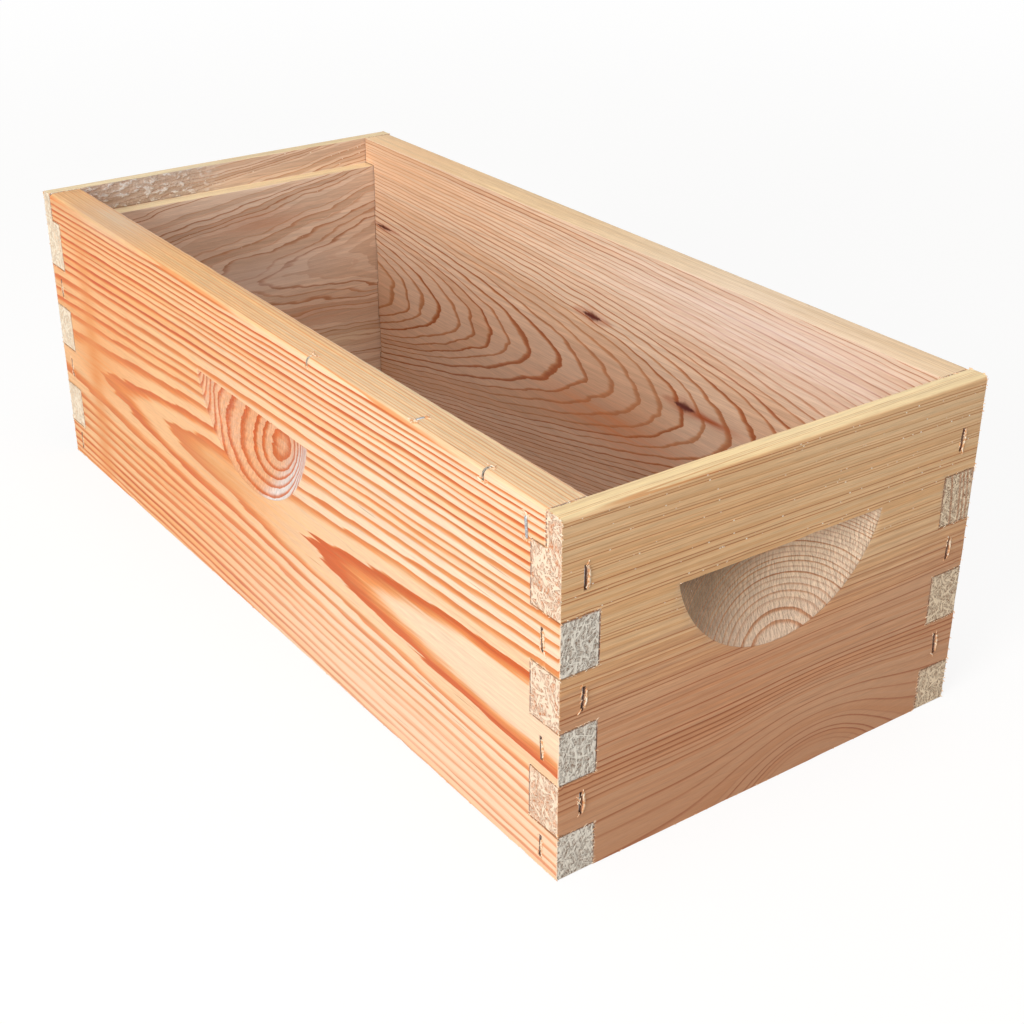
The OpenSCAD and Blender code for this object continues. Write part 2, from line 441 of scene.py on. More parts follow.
knot = make_knot()
end_grain = make_end_grain()
sparkle = make_sparkle()
print("groups", [g.name for g in (knot, end_grain, sparkle)])

# %% [markdown]
# ## One board's wood, in layers
# A board's colour is built in layers. The rings give pale early wood and dark late wood; resin marks
# parts of it and others are shifted to a darker or paler colour; a saw has matted the end grain, and
# a cutter has roughened the hand hold. Some layers paint light and shade as well: light on the tops,
# shade in the joints and slots, a shadow in the front hand hold and glints on torn fibres. Each layer
# is a short function that lays its colour over the last one, so a board is a list of its own numbers
# and every layer can be tried alone.

# %% Board coordinates and rings
RIDGE_SOFT = 3.0
SCOOP_DEPTH = 13.0


def use_group(tree, group, **inputs):
    """Places a node group with its own values; an underscore in a name stands for a space."""
    made = add(tree, "ShaderNodeGroup", node_tree=group)
    for key, value in inputs.items():
        socket = made.inputs[key.replace("_", " ")]
        if isinstance(value, bpy.types.NodeSocket):
            tree.links.new(value, socket)
        else:
            socket.default_value = value
    return made.outputs


def start_board(name, turn, reach):
    """An empty board material; turn and reach take the frame to board coordinates."""
    material, tree, shader = new_material(name)
    where = add(tree, "ShaderNodeTexCoord").outputs
    inputs = {"Vector": where["Object"], "Location": (reach, 0, 0), "Rotation": (0, 0, math.radians(turn)),
              "Scale": (1 / MM, 1 / MM, 1 / MM)}
    place = add(tree, "ShaderNodeMapping", inputs).outputs[0]
    normal = add(tree, "ShaderNodeSeparateXYZ", [where["Normal"]]).outputs
    across = calc(tree, "ABSOLUTE", normal["X" if abs(turn) == 90 else "Y"])
    return SimpleNamespace(
        material=material, tree=tree, shader=shader, place=place, up=normal["Z"], across=across,
        axes=add(tree, "ShaderNodeSeparateXYZ", [place]).outputs,
    )


def hump(board, centre, size, height):
    """A soft spot on the board."""
    inputs = {"Position": board.place, "Centre": centre, "Size": size, "Height": height}
    return use_group(board.tree, swell, **inputs)["Offset"]


def ring_offset(board, pith, ridge, swells, curl):
    """How far a ridge in the log, hidden knots and the bend behind the scoop push the rings."""
    tree, axes = board.tree, board.axes
    rise = calc(tree, "SUBTRACT", axes["Z"], pith[2])
    square = product(tree, rise, rise)
    sharp = calc(tree, "SQRT", calc(tree, "ADD", square, RIDGE_SOFT ** 2))
    sharp = product(tree, calc(tree, "SUBTRACT", sharp, RIDGE_SOFT), ridge)
    offset = sharp
    for swelling in swells:
        offset = calc(tree, "ADD", offset, hump(board, *swelling))
    if curl:
        eye, rate, centre, size = curl
        fan = vector_calc(tree, "DOT_PRODUCT", vector_calc(tree, "SUBTRACT", board.place, eye), rate)
        flat = calc(tree, "MULTIPLY_ADD", square, 0.5 / pith[0], sharp)
        flat = product(tree, flat, ramp(tree, axes["X"], 0.0, 4.0, 0.0, -1.0))
        bend = calc(tree, "MULTIPLY_ADD", axes["X"], fan, flat)
        near = ramp(tree, axes["X"], SCOOP_DEPTH, SCOOP_DEPTH + 4.0, 1.0, 0.0)
        near = product(tree, near, hump(board, centre, size, 1.0))
        offset = calc(tree, "MULTIPLY_ADD", near, bend, offset)
    return offset


# %% Ring colours
TOP_LIGHT_SHARE = 0.75
CANAL_BROWN = srgb(120, 62, 30)
KNOT_HALO = srgb(176, 84, 40)
KNOT_CORE = srgb(92, 30, 20)


def lay(board, share, colour, mode="MIX"):
    """Lays a colour over the board's own by share."""
    board.colour = blend_colour(board.tree, share, board.colour, colour, mode)


def colour_rings(board, early, tan, late, rim, faint):
    """Pale wood, tanned in some rings, that deepens to late wood as pigment does; up-facing tops take a
    colour of their own, which is painted top light.
    """
    tree, rings = board.tree, board.rings
    board.late = late
    flat_top = ramp(tree, board.up, 0.35, 0.8)
    weight = product(tree, rings["Late"], ramp(tree, rings["Tone"], 0.0, 1.0, faint, 1.0))
    weight = product(tree, weight, ramp(tree, board.fine["Hair"], 0.0, 1.0, 0.86, 1.0))
    board.weight = product(tree, weight, ramp(tree, board.up, 0.1, 0.5, 1.0, 0.45))
    pale = blend_colour(tree, ramp(tree, rings["Cast"], 0.45, 1.0), early, tan)
    # Painted top light: up-facing faces take the rim colour, paler on the end boards and yellower on the
    # side boards.
    pale = blend_colour(tree, product(tree, flat_top, TOP_LIGHT_SHARE), pale, rim)
    middle = tuple(a ** 0.6 * b ** 0.4 for a, b in zip(early, late))
    colour = blend_colour(tree, ramp(tree, board.weight, 0.0, 0.55), pale, middle)
    board.colour = blend_colour(tree, ramp(tree, board.weight, 0.4, 1.0), colour, late)


def shift_tone(board, colour, axis, low, high):
    """Multiplies the board's colour by another, more and more towards one end or edge."""
    tree = board.tree
    spread = calc(tree, "MULTIPLY_ADD", board.fine["Streak"], abs(high - low) * 0.5, board.axes[axis])
    lay(board, ramp(tree, spread, low, high), colour, "MULTIPLY")


def grey(tree, value):
    """A grey of this value."""
    return add(tree, "ShaderNodeCombineColor", [value, value, value]).outputs[0]


def draw_fibres(board, late):
    """Streaks, hairs, patches and resin canals along the grain."""
    tree, fine = board.tree, board.fine
    shade = ramp(tree, fine["Streak"], 0.0, 1.0, 0.88, 1.04)
    shade = product(tree, shade, ramp(tree, fine["Hair"], 0.0, 1.0, 0.88, 1.05))
    lay(board, 1.0, grey(tree, shade), "MULTIPLY")
    lay(board, ramp(tree, fine["Patch"], 0.0, 1.0, 0.0, 0.25), late, "SOFT_LIGHT")
    lay(board, product(tree, fine["Canal"], 0.45), CANAL_BROWN)


def add_stains(board, stains, knots):
    """Soft streaky stains, and knots with their resin."""
    tree = board.tree
    for centre, size, stain, most in stains:
        share = ramp(tree, board.fine["Streak"], 0.1, 0.9, 0.45, 1.0)
        lay(board, product(tree, hump(board, centre, size, most), share), stain)
    for centre, size in knots:
        spot = use_group(tree, knot, Position=board.place, Centre=centre, Size=size)
        lay(board, product(tree, spot["Halo"], 0.45), KNOT_HALO)
        lay(board, spot["Core"], KNOT_CORE)


# %% Sawn ends, scoop and torn rebate
SCOOP_HALF = 60.0
SCOOP_MIDDLE = 97.5
SCOOP_RISE = 24.0
SCOOP_SLANT = 0.9
NAP_SCALE = (0.6, 0.75, 0.2)
ARC_PICK = 0.6
TORN_SCALE = (0.3, 0.16, 0.3)
TORN_GREY = srgb(206, 186, 172)
# The white of the painted glints on the torn fibres.
TORN_GLINT = srgb(250, 244, 238)


def within(tree, value, low, high, soft):
    """A mask that is 1 from low to high."""
    over = ramp(tree, value, low - soft, low)
    return product(tree, over, ramp(tree, value, high, high + soft, 1.0, 0.0))


def saw_ends(board, light, dark, arcs):
    """Matted fibres where the saw has crossed the grain, and a little on eased corners."""
    tree, mat = board.tree, board.mat
    board.sawn = ramp(tree, board.across, 0.6, 0.9)
    fuzz = blend_colour(tree, 0.75, dark, light)
    fuzz = blend_colour(tree, mat["Pit"], dark, fuzz)
    fuzz = blend_colour(tree, product(tree, board.rings["Late"], 0.4), fuzz, dark)
    fuzz = blend_colour(tree, mat["Strand"], fuzz, light)
    fuzz = blend_colour(tree, product(tree, board.rings["Late"], 0.22), fuzz, dark)
    if arcs:
        arc = ramp(tree, board.rings["Tone"], ARC_PICK, ARC_PICK + 0.04)
        arc = product(tree, arc, ramp(tree, board.axes["Z"], *arcs))
        fuzz = blend_colour(tree, arc, fuzz, board.late)
    lay(board, board.sawn, fuzz)
    board.partly = ramp(tree, board.across, 0.04, 0.3, 0.0, 0.35)
    lay(board, product(tree, board.partly, mat["Pit"]), light)


def carve_scoop(board, first, second, low, high, shares, lines):
    """The cutter's rough nap in the hand hold, in two tones from one side to the other; on the front board
    the dark second one is painted shadow.
    """
    tree, axes = board.tree, board.axes
    carved = within(tree, axes["X"], 0.12, SCOOP_DEPTH - 0.5, 0.1)
    carved = product(tree, carved, within(tree, axes["Y"], -SCOOP_HALF, SCOOP_HALF, 0.5))
    level = calc(tree, "SUBTRACT", axes["Z"], SCOOP_MIDDLE)
    board.carved = product(tree, carved, within(tree, level, -SCOOP_RISE, SCOOP_RISE - 0.6, 0.6))
    slant = calc(tree, "MULTIPLY_ADD", level, SCOOP_SLANT, axes["Y"])
    tone = blend_colour(tree, ramp(tree, slant, low, high), first, second)
    cover = product(tree, board.carved, ramp(tree, slant, low, high, *shares))
    lay(board, product(tree, cover, ramp(tree, board.weight, 0.0, 0.7, 1.0, 0.15)), tone)
    lay(board, product(tree, board.carved, board.rings["Late"], lines), board.late)
    board.nap = ramp(tree, noise_at(tree, board.place, NAP_SCALE, 7.0, 3.0, 0.6), 0.36, 0.64)
    nap = ramp(tree, board.nap, 0.0, 1.0, -0.1, 0.06)
    nap = calc(tree, "MULTIPLY_ADD", board.carved, nap, 1.0)
    lay(board, 1.0, grey(tree, nap), "MULTIPLY")


def tear_wall(board, depth, floor, start, end):
    """Crumpled fibres that the rebate's cutter has lifted on a part of the upright wall, with white
    painted glints on them.
    """
    tree, axes = board.tree, board.axes
    torn = within(tree, axes["X"], depth - 0.6, depth + 0.6, 0.2)
    torn = product(tree, torn, ramp(tree, axes["Z"], floor, floor + 0.5))
    torn = product(tree, torn, ramp(tree, axes["Y"], end, start))
    glint = noise_at(tree, board.place, TORN_SCALE, 4.0, 4.0, 0.7)
    board.torn = product(tree, torn, ramp(tree, glint, 0.3, 0.7))
    lay(board, product(tree, torn, 0.45), TORN_GREY)
    # Painted glints: white specks on the lifted fibres.
    lay(board, product(tree, torn, ramp(tree, glint, 0.52, 0.6)), TORN_GLINT)


# %% Seams, relief and the finished board
# Painted shade: how strongly, and in what brown, the joints between boards and the staple slots are
# darkened.
SEAM_SHADE_SHARE = 0.5
SEAM_SHADE_BROWN = srgb(128, 54, 22)
PALE_EDGE_SHARE = 0.5
DROP_WHITE = srgb(255, 246, 232)
RING_RELIEF = 0.03
HAIR_RELIEF = 0.035
CUT_RELIEF = 0.4
TORN_RELIEF = 1.2
SHINE = 0.35


def mark_edges(board, early):
    """Painted shade in the seams between boards and on the walls of the staple slots, and paler eased
    edges in the open, which the mesh marks on its faces.
    """
    tree = board.tree
    seam = add(tree, "ShaderNodeAttribute", attribute_name="seam").outputs["Fac"]
    # Painted shade: the seams and the slot walls are darkened towards brown.
    lay(board, product(tree, seam, SEAM_SHADE_SHARE), SEAM_SHADE_BROWN)
    pale_edge = add(tree, "ShaderNodeAttribute", attribute_name="pale_edge").outputs["Fac"]
    # Eased edges in the open are laid paler, in the early-wood colour.
    lay(board, product(tree, pale_edge, PALE_EDGE_SHARE), early)


def drip_resin(board, amount):
    """Bright drops on some of the lines in the upper part of the board; returns their mask."""
    tree, rings = board.tree, board.rings
    drop = use_group(tree, sparkle, Position=board.place, Amount=amount)["Drop"]
    drop = product(
        tree, drop, calc(tree, "SUBTRACT", 1.0, board.sawn), ramp(tree, rings["Tone"], 0.5, 0.56),
        ramp(tree, rings["Late"], 0.05, 0.4), ramp(tree, board.axes["Z"], 95.0, 125.0),
        ramp(tree, board.up, 0.1, 0.4, 1.0, 0.0),
    )
    lay(board, drop, DROP_WHITE)
    return drop


def finish_board(board, drops):
    """Relief of rings, fibres and rough cuts, and the links to the shader."""
    tree, strand = board.tree, board.mat["Strand"]
    relief = product(tree, board.rings["Late"], RING_RELIEF)
    relief = calc(tree, "MULTIPLY_ADD", board.fine["Hair"], HAIR_RELIEF, relief)
    rough_cut = product(tree, calc(tree, "ADD", board.sawn, board.partly), strand)
    rough_cut = calc(tree, "MULTIPLY_ADD", board.carved, board.nap, rough_cut)
    relief = calc(tree, "MULTIPLY_ADD", rough_cut, CUT_RELIEF, relief)
    rough = ramp(tree, board.rings["Late"], 0.0, 1.0, 0.68, 0.52)
    if board.torn:
        relief = calc(tree, "MULTIPLY_ADD", board.torn, TORN_RELIEF, relief)
    if drops:
        drop = drip_resin(board, drops)
        rough = product(tree, rough, ramp(tree, drop, 0.0, 1.0, 1.0, 0.35))
    bump = add(tree, "ShaderNodeBump", {"Strength": 1.0, "Distance": MM, "Height": relief})
    tree.links.new(board.colour, board.shader.inputs["Base Color"])
    tree.links.new(rough, board.shader.inputs["Roughness"])
    tree.links.new(bump.outputs[0], board.shader.inputs["Normal"])
    board.shader.inputs["Specular IOR Level"].default_value = SHINE


def board_wood(
    name, turn, reach, pith, lean, ring, early, late, end_light, end_dark, tan, rim, scoop, seed,
    wobble, ripple, feather, late_from, faint, phase=0.0, ridge=0.0, swells=(), curl=None, tint=None,
    stains=(), knots=(), torn=None, drops=0.0, arcs=None,
):
    """Solid wood for one board."""
    board = start_board(name, turn, reach)
    offset = ring_offset(board, pith, ridge, swells, curl)
    board.rings = use_group(
        board.tree, growth_rings, Position=board.place, Pith=pith, Lean=lean, Ring_width=ring,
        Wobble=wobble, Ripple=ripple, Feather=feather, Offset=offset, Phase=phase, Late_from=late_from,
        Seed=seed,
    )
    board.fine = use_group(board.tree, fibre, Position=board.place, Seed=seed)
    board.mat = use_group(board.tree, end_grain, Position=board.place, Seed=seed)
    board.torn = None
    colour_rings(board, early, tan, late, rim, faint)
    if tint:
        shift_tone(board, *tint)
    draw_fibres(board, late)
    add_stains(board, stains, knots)
    if torn:
        tear_wall(board, *torn)
    saw_ends(board, end_light, end_dark, arcs)
    carve_scoop(board, *scoop)
    mark_edges(board, early)
    finish_board(board, drops)
    return board.material


print("layers ready")

# %% [markdown]
# ## Four boards, four slices of log
# The layers are shared, and each board only says where its pith ran and how it is coloured. The left
# board is cut close to the heart, with a long pointed figure that a ridge in the log sharpens; the
# front board's rings rise through it, so its scoop shows arches; the right board leans in its log and
# shows nested tongues; the rear board is wild, streaky wood.

# %% Side board woods
HALF_WIDTH = BOX_WIDTH / 2 / MM
HALF_LENGTH = BOX_LENGTH / 2 / MM
# Painted top light for the up-facing tops of the side and end boards.
SIDE_TOP_LIGHT = srgb(246, 218, 172)
END_TOP_LIGHT = srgb(255, 234, 186)
wood = {}
wood["left_side"] = board_wood(
    "left_board_wood", 0, HALF_WIDTH, (180, 0, 72), (0.0095, 0, 0), 1.55,
    early=srgb(252, 222, 193), late=srgb(206, 92, 26), tan=srgb(249, 209, 169), rim=SIDE_TOP_LIGHT, seed=3.0,
    end_light=srgb(255, 248, 234), end_dark=srgb(120, 80, 48),
    wobble=0.5, ripple=0.1, feather=0.15, phase=0.63, late_from=0.36, faint=0.7, ridge=0.03,
    curl=((0, -21, 116), (0, 0.0165, 0.0135), (5, 0, 98), (11, 85, 38)),
    tint=(srgb(252, 230, 200), "Y", -80, 180),
    scoop=(srgb(236, 226, 222), srgb(238, 162, 116), -36, -16, (0.92, 0.46), 0.7),
    stains=(
        ((0, 40, 70), (30, 48, 9), srgb(216, 152, 96), 0.8),
        ((0, 196, 78), (30, 40, 18), srgb(232, 148, 78), 0.75),
        ((0, -135, 14), (30, 160, 28), srgb(246, 206, 174), 0.75),
        ((0, 203, 60), (30, 10, 95), srgb(226, 140, 74), 0.8),
        ((8, 172, 170), (40, 46, 6), srgb(206, 196, 178), 0.7),
    ),
)
wood["right_side"] = board_wood(
    "right_board_wood", 180, HALF_WIDTH, (142, 0, 84), (0.0585, 0, 0.055), 1.25,
    early=srgb(244, 217, 190), late=srgb(182, 106, 56), tan=srgb(236, 202, 170), rim=SIDE_TOP_LIGHT, seed=12.0,
    end_light=srgb(255, 232, 200), end_dark=srgb(132, 82, 44),
    wobble=0.5, ripple=0.27, feather=0.06, late_from=0.66, faint=0.65, arcs=(80, 90, 0.0, 0.7),
    # Slightly darker and pinker towards the bottom.
    tint=(srgb(246, 242, 242), "Z", 138, 100),
    knots=(((0, -1, 121), (20, 10, 3.2)), ((0, 79, 95), (20, 10, 3.6)), ((0, -222, 114), (20, 12, 1.6))),
    scoop=(srgb(255, 222, 198), srgb(244, 190, 156), -60, 60, (0.6, 0.6), 0.4),
    stains=(
        ((19, 20, 62), (30, 60, 12), srgb(214, 120, 50), 0.65),
        ((19, 97, 93.5), (30, 20, 2.6), srgb(176, 84, 36), 1.0),
        ((19, 140, 150), (30, 120, 22), srgb(242, 230, 226), 0.6),
        ((19, -200, 160), (30, 60, 26), srgb(246, 196, 150), 0.6),
    ),
)
print("woods", list(wood))

# %% End board woods
wood["front_end"] = board_wood(
    "front_board_wood", -90, HALF_LENGTH, (232, 0, -35), (0.004, 0, 0.02), 0.85,
    early=srgb(243, 205, 159), late=srgb(186, 114, 61), tan=srgb(238, 193, 143), rim=END_TOP_LIGHT, seed=23.0,
    end_light=srgb(252, 228, 202), end_dark=srgb(196, 110, 48),
    wobble=0.8, ripple=0.06, feather=0.07, late_from=0.5, faint=0.0,
    swells=(((0, -28, -10), (60, 45, 40), -9.0),),
    # Darker and pinker towards the bottom, with a darker brown band along the bottom edge.
    tint=(srgb(232, 212, 212), "Z", 128, 80), drops=0.6,
    stains=(((0, 0, 6), (30, 240, 28), srgb(178, 128, 96), 0.4),),
    # The scoop's dark second colour is painted shadow on the upper left of the hand hold, the side turned
    # away from the key lamp.
    scoop=(srgb(255, 232, 208), srgb(78, 62, 54), -8, 60, (0.6, 0.6), 0.42),
)
wood["rear_end"] = board_wood(
    "rear_board_wood", 90, HALF_LENGTH, (-110, 0, 95), (0.05, 0, 0.03), 1.0,
    early=srgb(240, 216, 194), late=srgb(186, 130, 94), tan=srgb(218, 188, 162), rim=END_TOP_LIGHT, seed=37.0,
    end_light=srgb(255, 240, 216), end_dark=srgb(244, 204, 164),
    wobble=3.4, ripple=0.8, feather=0.14, late_from=0.55, faint=0.1, drops=0.3,
    scoop=(srgb(255, 222, 198), srgb(190, 160, 134), -30, 55, (0.6, 0.6), 0.4),
    stains=(
        ((19, 13, 130), (30, 30, 7), srgb(190, 118, 78), 0.5),
        ((19, 40, 60), (30, 40, 9), srgb(196, 130, 88), 0.4),
        ((19, 20, 95), (30, 50, 12), srgb(226, 216, 208), 0.6),
        ((19, 60, 40), (30, 40, 7), srgb(232, 210, 178), 0.6),
    ),
    torn=(9.5, 152.2, -40, 5),
)
print("woods", list(wood))

# %% [markdown]
# ## Boards with worked edges
# A CAD board has knife-sharp edges that real wood never keeps. Each board here is a merged copy of
# its node: the edges are eased, then the whole board is cut into a lattice so that the eased strips
# can be nibbled by a little noise, as a saw and some handling would. A Bevel modifier could ease
# them too, but the mesh tools also say which faces are new, and those are marked for the material.

# %% Staple slots and neighbouring boards
SLOT_MARGIN = 1.3 * MM
WELD = 0.001 * MM


def islands(data):
    """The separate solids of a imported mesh, each as an array of its points."""
    mesh = bmesh.new()
    mesh.from_mesh(data)
    bmesh.ops.remove_doubles(mesh, verts=mesh.verts, dist=WELD)
    left = set(mesh.verts)
    found = []
    while left:
        group, edge = [], [left.pop()]
        while edge:
            vert = edge.pop()
            group.append(tuple(vert.co))
            for link in vert.link_edges:
                other = link.other_vert(vert)
                if other in left:
                    left.discard(other)
                    edge.append(other)
        found.append(np.array(sorted(group)))
    mesh.free()
    return sorted(found, key=lambda points: tuple(points.mean(0).round(5)))


def staple_boxes(kinds):
    """Boxes round the staples of these kinds and the slots above them."""
    groups = [islands(node.data) for name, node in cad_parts.items() if name.endswith(kinds)]
    return [(p.min(0) - SLOT_MARGIN, p.max(0) + SLOT_MARGIN) for group in groups for p in group]


def inside(boxes, point):
    """Whether a point lies in any of the boxes."""
    point = np.array(point)
    return any((low <= point).all() and (point <= high).all() for low, high in boxes)


def neighbours(name):
    """A search tree over the other three boards, to find where this board meets them."""
    verts, faces = [], []
    for other in wood:
        if other != name:
            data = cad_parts[other].data
            faces += [[i + len(verts) for i in p.vertices] for p in data.polygons]
            verts += [v.co.copy() for v in data.vertices]
    return BVHTree.FromPolygons(verts, faces)


slots = staple_boxes(("staples", "staple"))
deep_slots = staple_boxes(("end_staples", "side_staples"))
print("slots", len(slots), "of them deep", len(deep_slots))

# %% Steps of working a board
EASE = 0.45 * MM
CHIP = 0.34 * MM
CHIP_SIZES = ((2.6 * MM, 1.0), (9 * MM, 0.6))
LATTICE = 6 * MM
LATTICE_FINE = 1.8 * MM
FINE_ZONE = 24 * MM
FIRST_CUT = 0.63
LEVEL_TURN = math.radians(0.4)
SHARP_TURN = math.radians(35)
SEAM_REACH = 0.8 * MM
SKIN = 0.05 * MM
TOUCH = 0.0001 * MM
SLOT_SHADE = 1.3


def ease_edges(mesh):
    """Rounds every sharp edge outside the slots and marks the new faces."""
    eased = mesh.faces.layers.int.new("eased")
    bmesh.ops.remove_doubles(mesh, verts=mesh.verts, dist=WELD)
    bmesh.ops.dissolve_limit(mesh, angle_limit=LEVEL_TURN, verts=mesh.verts, edges=mesh.edges)
    edges = [
        e for e in mesh.edges
        if len(e.link_faces) == 2 and e.calc_face_angle() > SHARP_TURN
        and not all(inside(slots, v.co) for v in e.verts)
    ]
    made = bmesh.ops.bevel(
        mesh, geom=edges, offset=EASE, segments=2, profile=0.6, affect="EDGES", clamp_overlap=True,
    )
    for face in made["faces"]:
        face[eased] = 1
    return eased


def cuts(low, high):
    """Places of the lattice cuts along one side: close together near the joints."""
    places, at = [], low + LATTICE_FINE * FIRST_CUT
    while at < high:
        places.append(at)
        near = min(at - low, high - at) < FINE_ZONE
        at += LATTICE_FINE if near else LATTICE
    return places


def cut_lattice(mesh, low, high):
    """Cuts the board along its length and its height."""
    run = 1 if high.y - low.y > high.x - low.x else 0
    for axis in (run, 2):
        turn = Vector((0, 0, 0))
        turn[axis] = 1
        for place in cuts(low[axis], high[axis]):
            everything = mesh.verts[:] + mesh.edges[:] + mesh.faces[:]
            bmesh.ops.bisect_plane(
                mesh, geom=everything, dist=TOUCH, plane_co=turn * place, plane_no=turn,
            )


def nibble_edges(mesh, eased):
    """Presses the eased strips in by noise, a little at a time."""
    mesh.normal_update()
    moves = {}
    for vert in {v for f in mesh.faces if f[eased] for v in f.verts}:
        depth = sum(share * noise.noise(vert.co / size) for size, share in CHIP_SIZES)
        moves[vert] = vert.normal * (-CHIP * max(0.0, depth))
    for vert, move in moves.items():
        vert.co += move


def mark_faces(mesh, eased, others):
    """Marks seams against other boards and the walls of the slots for painted shade, and eased edges in
    the open, which are laid paler.
    """
    seam = mesh.faces.layers.float.new("seam")
    pale_edge = mesh.faces.layers.float.new("pale_edge")
    for face in mesh.faces:
        middle = face.calc_center_median()
        if face[eased]:
            near = others.find_nearest(middle)[3] < SEAM_REACH
            face[seam if near else pale_edge] = 1.0
            continue
        # The slot walls below the outer faces get a stronger painted shade.
        below = abs(middle.x) < BOX_WIDTH / 2 - SKIN and abs(middle.y) < BOX_LENGTH / 2 - SKIN
        if below and inside(deep_slots, middle):
            face[seam] = SLOT_SHADE


# %% Board meshes
FLAT_TURN = math.radians(15)
SLIVER = 0.002 * MM


def mend_slivers(mesh):
    """Takes out edges too short to see, and points that join only two edges."""
    bmesh.ops.dissolve_degenerate(mesh, dist=SLIVER, edges=mesh.edges)
    spare = [vert for vert in mesh.verts if len(vert.link_edges) == 2]
    bmesh.ops.dissolve_verts(mesh, verts=spare)


def settle(parts, key):
    """Sorts points or faces, which the bevel makes in another order each run."""
    rank = {part: number for number, part in enumerate(sorted(parts, key=key))}
    parts.sort(key=rank.get)
    parts.index_update()


def work_board(name):
    """A copy of one board with eased, nibbled edges."""
    mesh = bmesh.new()
    mesh.from_mesh(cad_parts[name].data)
    eased = ease_edges(mesh)
    cut_lattice(mesh, *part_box(name))
    nibble_edges(mesh, eased)
    mend_slivers(mesh)
    mark_faces(mesh, eased, neighbours(name))
    settle(mesh.verts, lambda vert: tuple(vert.co))
    settle(mesh.faces, lambda face: sorted(vert.index for vert in face.verts))
    data = bpy.data.meshes.new(name + "_worked")
    mesh.to_mesh(data)
    mesh.free()
    data.materials.clear()
    data.materials.append(wood[name])
    for polygon in data.polygons:
        polygon.use_smooth = True
        polygon.material_index = 0
    data.set_sharp_from_angle(angle=FLAT_TURN)
    board = bpy.data.objects.new(name + "_board", data)
    bpy.context.collection.objects.link(board)
    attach(board, "root")
    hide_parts(name)
    return board


boards = {name: work_board(name) for name in wood}
for board in boards.values():
    print(board.name, len(board.data.polygons), "faces")

# %% [markdown]
# ## Staples
# A staple is flattened zinc-coated wire, bent twice and cut to a point. The same bent wire repeats
# 28 times, so a Geometry Nodes tree bends it once and sets it on points; each point takes its place
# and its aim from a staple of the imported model. One mesh for each packed group keeps the names.

# %% Staple wire material


def millimetres(tree):
    """Object coordinates in millimetres."""
    where = add(tree, "ShaderNodeTexCoord").outputs["Object"]
    return add(tree, "ShaderNodeMapping", {"Vector": where, "Scale": (1 / MM, 1 / MM, 1 / MM)}).outputs[0]


def staple_wire():
    """Zinc-coated wire, dulled in patches."""
    material, tree, shader = new_material("zinc_wire")
    inputs = {"Vector": millimetres(tree), "Scale": 1.4, "Detail": 4.0, "Roughness": 0.7}
    scuff = add(tree, "ShaderNodeTexNoise", inputs).outputs[0]
    colour = blend_colour(tree, ramp(tree, scuff, 0.35, 0.7), srgb(214, 216, 220), srgb(140, 140, 140))
    tree.links.new(colour, shader.inputs["Base Color"])
    tree.links.new(ramp(tree, scuff, 0.3, 0.7, 0.3, 0.5), shader.inputs["Roughness"])
    bump = add(tree, "ShaderNodeBump", {"Strength": 0.6, "Distance": 0.05 * MM, "Height": scuff})
    tree.links.new(bump.outputs[0], shader.inputs["Normal"])
    shader.inputs["Metallic"].default_value = 1.0
    return material


zinc = staple_wire()
print("material", zinc.name)

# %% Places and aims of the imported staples


def staple_place(points):
    """A staple's crown point, its turn (crown, side, outward) and its crown, leg and wire sizes."""
    middle = (points.min(0) + points.max(0)) / 2
    axes = np.linalg.svd(points - points.mean(0), full_matrices=False)[2]
    outward, crown = Vector(axes[0]), Vector(axes[1])
    if outward.dot(Vector(middle) - Vector((0, 0, BOX_HEIGHT / 2))) < 0:
        outward = -outward
    if crown.dot(Vector((0.01, 0.01, 1))) < 0:
        crown = -crown
    turn = Matrix((crown, outward.cross(crown), outward)).transposed()
    local = points @ np.array(turn)
    low, high = local.min(0), local.max(0)
    top = turn @ Vector(((low[0] + high[0]) / 2, (low[1] + high[1]) / 2, high[2]))
    size = high - low
    return {"place": top, "turn": turn, "crown": size[0], "wire": size[1], "leg": size[2]}


staples = {}
for name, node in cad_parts.items():
    if name.endswith(("staples", "staple")):
        staples[name] = [staple_place(points) for points in islands(node.data)]
print("staples", sum(len(group) for group in staples.values()), "in", len(staples), "groups")

# %% Helpers for Geometry Nodes


def new_geometry_tree(name, inputs):
    """A Geometry Nodes tree with a geometry in and out and named number inputs."""
    tree = bpy.data.node_groups.new(name, "GeometryNodeTree")
    tree.interface.new_socket("Geometry", in_out="INPUT", socket_type="NodeSocketGeometry")
    for label, value in inputs:
        socket = tree.interface.new_socket(label, in_out="INPUT", socket_type="NodeSocketFloat")
        socket.default_value = value
    tree.interface.new_socket("Geometry", in_out="OUTPUT", socket_type="NodeSocketGeometry")
    return tree, add(tree, "NodeGroupInput").outputs, add(tree, "NodeGroupOutput").inputs


def point_mesh(name, places):
    """Loose points that carry their aim and their size as attributes."""
    data = bpy.data.meshes.new(name)
    data.from_pydata([p["place"] for p in places], [], [])
    aims = data.attributes.new("aim", "FLOAT_VECTOR", "POINT")
    sizes = data.attributes.new("size", "FLOAT_VECTOR", "POINT")
    for index, p in enumerate(places):
        aims.data[index].vector = p["turn"].to_euler()
        sizes.data[index].vector = Vector((1, 1, 1)) * p.get("size", 1.0)
    return data


